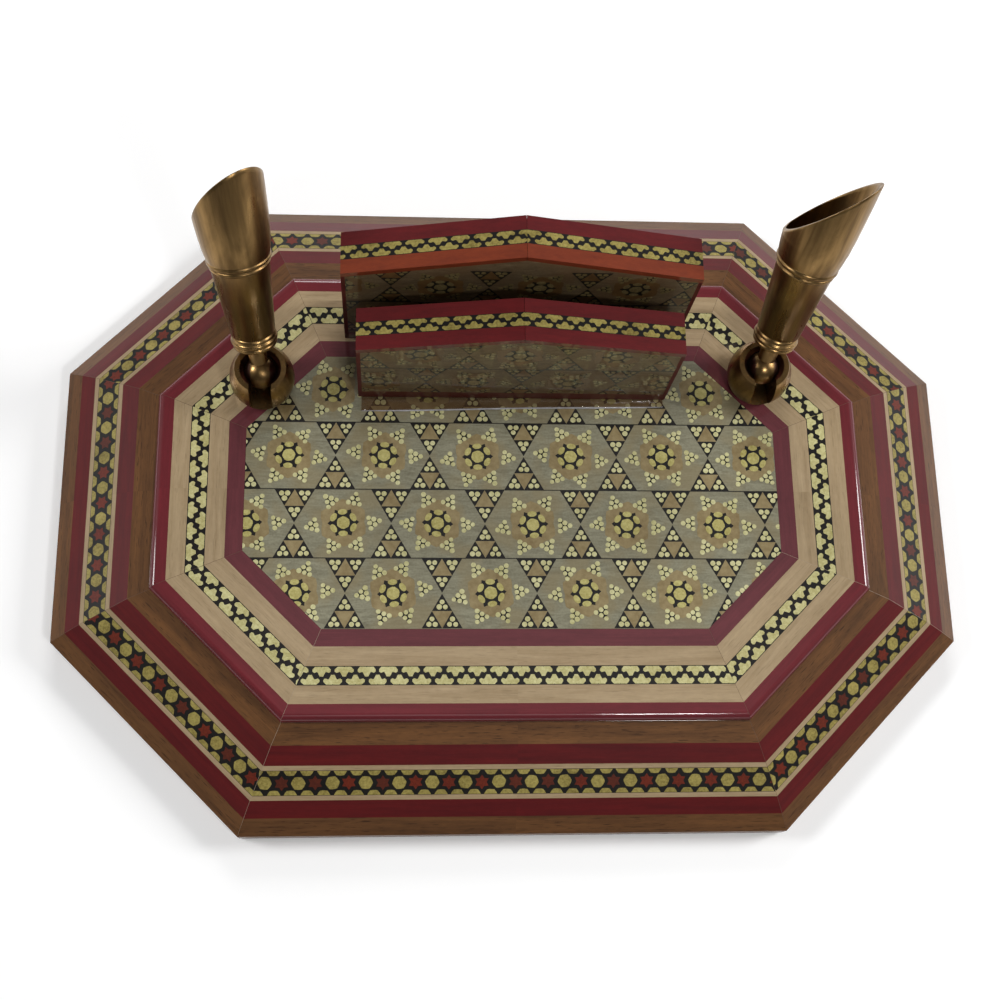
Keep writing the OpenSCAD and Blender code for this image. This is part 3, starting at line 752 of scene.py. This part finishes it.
def glue_blade(name, corner, finish):
    """Fills the mitre gap at one corner with a thin blade of glue."""
    profile = ring_profile()
    outer, inner = Vector(octagon(0)[corner]), Vector(octagon(profile[-1][0])[corner])
    across = (inner - outer).normalized().orthogonal() * GLUE_LINE * 0.45
    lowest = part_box("base_board")[0].z + 0.2 * MM
    outermost = 0.1 * MM
    line = []
    for inset, z in profile:
        at = Vector(octagon(max(inset, outermost))[corner])
        line.append((at, z - 0.02 * MM))
    line += [(inner, lowest), (Vector(octagon(outermost)[corner]), lowest)]
    n = len(line)
    verts = [(p.x + side * across.x, p.y + side * across.y, z) for side in (1, -1) for p, z in line]
    faces = [tuple(range(n)), tuple(range(2 * n - 1, n - 1, -1))]
    faces += [(k, n + k, n + (k + 1) % n, (k + 1) % n) for k in range(n)]
    piece(name, verts, faces, finish, "root", "core_wood")


for corner in range(8):
    glue_blade(f"mitre_glue_{corner}", corner, "pale_glue" if corner in (0, 6) else "glue")


def pool_edge(t):
    """Front edge of the run lacquer, in x and y, at share t of its length from the left."""
    low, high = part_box("front_foot_strip")
    left, right = low.x - 0.2 * MM, high.x + 0.6 * MM
    spread = (4.7 - 2.3 * t + 0.12 * math.sin(9 * t)) * MM
    return left + (right - left) * t, low.y - spread


def swept_faces(steps, n):
    """Faces of a closed outline of n points swept in steps, with both ends closed."""
    faces = []
    for k in range(steps):
        for j in range(n):
            a, b = k * n + j, k * n + (j + 1) % n
            faces.append((a, b, b + n, a + n))
    return faces + [tuple(range(n - 1, -1, -1)), tuple(range(steps * n, steps * n + n))]


def lacquer_run():
    """A thin pool with a rounded front lip along the front panel's foot."""
    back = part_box("front_foot_strip")[0].y
    lip = [(0.0, 0.0), (0.05, 0.25), (0.25, 0.42), (0.55, 0.45), (0.9, 0.3), (1.5, 0.16), (2.4, 0.12)]
    film, steps = 0.05 * MM, 40
    under = TOP_Z + 0.01 * MM
    verts = []
    for k in range(steps + 1):
        x, front = pool_edge(k / steps)
        rows = [(min(front + a * MM, back), TOP_Z + b * MM + film) for a, b in lip]
        rows += [(back, TOP_Z + 0.17 * MM), (back, under), (front, under)]
        verts += [(x, y, z) for y, z in rows]
    faces = swept_faces(steps, len(lip) + 3)
    piece("lacquer_run", verts, faces, "film", "root", "rosette_inlay", smooth=True)


def painted_highlight_lip():
    """The pool's rounded front edge, where the run lacquer stopped, thinner towards its ends, coloured pale as a
    painted highlight.
    """
    steps, corners, radius, taper = 60, 10, 0.25 * MM, 6
    verts = []
    for k in range(steps + 1):
        t = k / steps
        x, front = pool_edge(t)
        fullness = math.sin(math.pi * min(1, taper * t, taper * (1 - t)) / 2)
        size = radius * (0.35 + 0.65 * fullness)
        for j in range(corners):
            a = math.pi * j / (corners - 1)
            verts.append((x, front - size * math.cos(a), TOP_Z + 0.01 * MM + 1.6 * size * math.sin(a)))
    faces = swept_faces(steps, corners)
    piece("painted_highlight_lip", verts, faces, "lip", "root", "rosette_inlay", smooth=True)


lacquer_run()
painted_highlight_lip()


# ---------------------------------------------------------------- turned brass pen holders

def turned(outlines):
    """Closed mesh of closed (radius, height) outlines in mm, spread evenly round Z."""
    segments, n = len(outlines), len(outlines[0])
    verts, faces = [], []
    for k, outline in enumerate(outlines):
        t = 2 * math.pi * k / segments
        verts += [(r * math.cos(t) * MM, r * math.sin(t) * MM, z * MM) for r, z in outline]
        a, b = k * n, (k + 1) % segments * n
        faces += [(a + j, b + j, b + (j + 1) % n, a + (j + 1) % n) for j in range(n)]
    return verts, faces


def bead(radius, height, size, start, end):
    """Outside arc of a turned bead, in (radius, height), between two angles from straight out."""
    steps = 9
    made = []
    for k in range(steps):
        t = math.radians(start + (end - start) * k / (steps - 1))
        made.append((radius + size * math.cos(t), height + size * math.sin(t)))
    return made


def smooth_curve(points):
    """Catmull-Rom curve through (radius, height) points."""
    steps = 6
    ends = [points[0]] + points + [points[-1]]
    made = []
    for a, b, c, d in zip(ends, ends[1:], ends[2:], ends[3:]):
        for k in range(steps):
            t = k / steps
            weights = (-t + 2 * t ** 2 - t ** 3, 2 - 5 * t ** 2 + 3 * t ** 3,
                       t + 4 * t ** 2 - 3 * t ** 3, t ** 3 - t ** 2)
            made.append(tuple(sum(w * p[i] for w, p in zip(weights, (a, b, c, d))) / 2 for i in (0, 1)))
    return made + [points[-1]]


def radius_at(curve, height):
    """Radius of a rising (radius, height) curve at a height."""
    for (r0, z0), (r1, z1) in zip(curve, curve[1:]):
        if z0 <= height <= z1:
            return r0 + (r1 - r0) * (height - z0) / (z1 - z0)
    return curve[-1][0]


# Radii and heights of the turned pieces in mm, along the pen's axis from the ball's centre.
NECK_R, NECK_END = 2.0, 9.6
SHOULDER_MIDDLE, SHOULDER_R = (3.5, 12), 2.4
FERRULE_TOP = [(6.5, 13.6), (6.5, 15.2)]
BARREL_FOOT, BARREL_TOP = (6.6, 15.2), (8.57, 37.7)
FLARE = smooth_curve([(9.2, 40.9), (9.5, 42.2), (9.8, 44), (10.1, 46.5), (10.42, 50), (10.7, 54.5), (11, 63),
                      (11.2, 73)])
FLARE_JOIN = 43.0           # where the flare's rings start to follow the slanted mouth
RIDGE_Z, RIDGE_H = 47.5, 0.07       # the faint ring round the flare
WALL = 0.8
LIP = 0.12                  # rounding of the mouth's lip


def holder_frame(hand):
    """One holder's frame as a matrix, with its origin at the ball, Z along the pen and X to the mouth's
    high side, and the heights of the mouth's low and high side in mm."""
    mount = next(m for m in frame["record"]["mounts"] if m["name"] == f"{hand}_pen_bore")
    ball, axis = ball_place(hand), Vector(mount["axis"]).normalized()
    points = [v.co - ball for v in frame["nodes"][f"{hand}_trumpet"].data.vertices]

    def outward(p):
        return p - axis * axis.dot(p)

    tip = max(points, key=axis.dot)
    side = outward(tip).normalized()
    flare = [p for p in points if outward(p).length > 9.5 * MM]
    low_side = [p for p in flare if outward(p).normalized().dot(side) < -0.99]
    low = max(axis.dot(p) for p in low_side) / MM
    rotation = Matrix((side, axis.cross(side), axis)).transposed().to_4x4()
    return Matrix.Translation(ball) @ rotation, low, axis.dot(tip) / MM


def trumpet_mesh(low, high):
    """The tube, its two beads, and the flare cut off on a slant with a rounded lip."""
    barrel = [BARREL_FOOT, BARREL_TOP] + bead(8.2, 38.4, 0.75, -58, 60) + bead(8.6, 40.2, 0.85, -75, 45)
    barrel += [(radius_at(FLARE, z), z) for z in (41.2, 42)]
    inside = [(8.0, 39.6), (BARREL_TOP[0] - WALL, BARREL_TOP[1]), (BARREL_FOOT[0] - WALL, BARREL_FOOT[1])]
    steepness = (high - low) / (radius_at(FLARE, low) + radius_at(FLARE, high))
    middle = low + steepness * radius_at(FLARE, low)
    steps, segments = 18, 120

    def cut(slant, inward):
        """Height of the slanted cut, inward from the flare's outside. The radius depends on it in turn."""
        z = middle
        for _ in range(30):
            z = middle + steepness * (radius_at(FLARE, z) - inward) * slant
        return z

    outlines = []
    for k in range(segments):
        slant = math.cos(2 * math.pi * k / segments)
        top, inner_top = cut(slant, 0), cut(slant, WALL)
        outline = list(barrel)
        for j in range(steps + 1):
            z = FLARE_JOIN + (top - LIP - FLARE_JOIN) * j / steps
            ridge = RIDGE_H * math.exp(-((z - RIDGE_Z) / 0.35) ** 2)
            outline.append((radius_at(FLARE, z) + ridge, z))
        rim = radius_at(FLARE, top)
        outline += [(rim - LIP, top), (rim - WALL / 2, cut(slant, WALL / 2) + 0.02),
                    (rim - WALL + LIP, inner_top)]
        for j in range(steps + 1):
            z = inner_top - LIP + (FLARE_JOIN - inner_top + LIP) * j / steps
            outline.append((radius_at(FLARE, z) - WALL, z))
        outlines.append(outline + inside)
    return turned(outlines)


def ferrule_mesh():
    """Rounded shoulder and two beads over the neck."""
    segments = 96
    turns = [math.radians(a) for a in range(0, 50, 9)]
    (r, z), size = SHOULDER_MIDDLE, SHOULDER_R
    outline = [(NECK_R, NECK_END)] + [(r + size * math.sin(t), z - size * math.cos(t)) for t in turns]
    outline += bead(5.75, 11.1, 0.85, -120, 60) + bead(6, 12.7, 0.95, -66, 58)
    outline += FERRULE_TOP + [(NECK_R, FERRULE_TOP[-1][1])]
    return turned([outline] * segments)


for hand in ("left", "right"):
    stand, mouth_low, mouth_high = holder_frame(hand)
    body, slot = f"{hand}_pen", "antique_brass"
    verts, faces = trumpet_mesh(mouth_low, mouth_high)
    tube = piece(f"{hand}_turned_trumpet", verts, faces, "brass", body, slot, smooth=True, at=stand)
    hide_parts(f"{hand}_trumpet")
    verts, faces = ferrule_mesh()
    cap = piece(f"{hand}_turned_ferrule", verts, faces, "brass", body, slot, smooth=True, at=stand)
    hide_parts(f"{hand}_ferrule")


# ---------------------------------------------------------------- stage, light and camera

WALL_FRONT, WALL_BACK = 0.1, 0.24       # glow of the studio's walls in front of the stand and behind it


def floor():
    """Plain pale floor under the stand."""
    size = 3.0
    mesh = bpy.data.meshes.new("floor")
    corners = [(x, y, 0) for x, y in rectangle(-size, -size, size, size)]
    mesh.from_pydata(corners, [], [(0, 1, 2, 3)])
    g = Graph("floor_white")
    grain = g.noise(g.scaled(g.place, (40, 40, 40)), 2.0, 0.5)
    g.set(Base_Color=g.mix(grain, srgb(249, 249, 249), srgb(246, 246, 246)), Roughness=0.6)
    g.set(Emission_Color=(1.0, 1.0, 1.0, 1.0), Emission_Strength=0.15)
    mesh.materials.append(g.material)
    made = bpy.data.objects.new("floor", mesh)
    bpy.context.scene.collection.objects.link(made)


def studio_world():
    """Two soft bright patches overhead, dim walls, and a darker side in front."""
    world = bpy.data.worlds.new("studio")
    bpy.context.scene.world = world
    world.use_nodes = True
    tree = world.node_tree
    tree.nodes.clear()
    link = tree.links.new

    def node(kind, *values, **settings):
        n = tree.nodes.new("ShaderNode" + kind)
        for key, value in settings.items():
            setattr(n, key, value)
        for socket, value in zip(n.inputs, values):
            if isinstance(value, bpy.types.NodeSocket):
                link(value, socket)
            elif value is not None:
                socket.default_value = value
        return n

    where = node("TexCoord").outputs["Generated"]

    def patch(direction, outer, inner, strength):
        """Glow round a direction, from nothing at the outer angle to full at the inner one, in degrees."""
        middle = Vector(direction).normalized()
        towards = node("VectorMath", where, middle, operation="DOT_PRODUCT").outputs["Value"]
        outer, inner = math.cos(math.radians(outer)), math.cos(math.radians(inner))
        return smooth_step(towards, outer, inner, 0.0, strength)

    def smooth_step(value, low, high, at_low, at_high):
        ranged = node("MapRange", value, low, high, at_low, at_high, interpolation_type="SMOOTHSTEP")
        return ranged.outputs[0]

    place = node("SeparateXYZ", where).outputs
    walls = smooth_step(place[1], -0.55, 0.5, WALL_FRONT, WALL_BACK)
    height = smooth_step(place[2], 0.35, 0.9, 1.0, 0.3)
    ceiling, near_ceiling = patch((0.09, 0.17, 0.98), 17, 5, 0.3), patch((0.05, -0.42, 0.905), 14, 6, 0.9)
    glow = node("Math", walls, height, ceiling, operation="MULTIPLY_ADD").outputs[0]
    glow = node("Math", glow, near_ceiling, operation="ADD").outputs[0]
    back = node("Background", node("CombineColor", glow, glow, glow).outputs[0], 1.0)
    out = node("OutputWorld")
    link(back.outputs[0], out.inputs[0])


def area_light(name, place, target, size, size_y, energy):
    """A white softbox in metres and watts that faces a target."""
    data = bpy.data.lights.new(name, "AREA")
    data.shape, data.size, data.size_y, data.energy = "RECTANGLE", size, size_y, energy
    made = bpy.data.objects.new(name, data)
    made.location = place
    made.rotation_mode = "QUATERNION"
    made.rotation_quaternion = (Vector(target) - Vector(place)).to_track_quat("-Z", "Y")
    bpy.context.scene.collection.objects.link(made)


def camera():
    """At the photograph's angle: high over the front, a little to the left, and rolled to match."""
    elevation, azimuth, roll = math.radians(72.66), math.radians(-14.1), math.radians(13.8)
    distance, focal = 446.3 * MM, 1.4635
    target = Vector((-4.39 * MM, -3.19 * MM, TOP_Z))
    right = Vector((math.cos(azimuth), math.sin(azimuth), 0))
    flat = Vector((-math.sin(azimuth), math.cos(azimuth), 0))
    forward = flat * math.cos(elevation) - Vector((0, 0, math.sin(elevation)))
    up = right.cross(forward)
    turned_right = right * math.cos(roll) + up * math.sin(roll)
    turned_up = up * math.cos(roll) - right * math.sin(roll)
    data = bpy.data.cameras.new("camera")
    data.sensor_width = 36
    data.lens = focal * data.sensor_width
    data.clip_start, data.clip_end = 0.01, 20
    made = bpy.data.objects.new("camera", data)
    place = target - forward * distance
    rotation = Matrix((turned_right, turned_up, -forward)).transposed()
    made.matrix_world = Matrix.Translation(place) @ rotation.to_4x4()
    bpy.context.scene.collection.objects.link(made)
    bpy.context.scene.camera = made


bpy.context.scene.view_settings.view_transform = "Standard"
floor()
studio_world()
area_light("lamp", (0.14, -0.3, 0.5), (0.0, 0.0, 0.02), 0.075, 0.05, 0.75)
area_light("left_softbox", (-0.95, 0.1, 0.75), (0.0, 0.0, 0.02), 0.34, 0.34, 5.6)
area_light("back_softbox", (0.0, 0.95, 0.62), (0.0, 0.05, 0.02), 0.45, 0.34, 4.4)
area_light("right_softbox", (1.0, 0.16, 0.66), (0.0, 0.0, 0.02), 0.34, 0.34, 7.9)
camera()
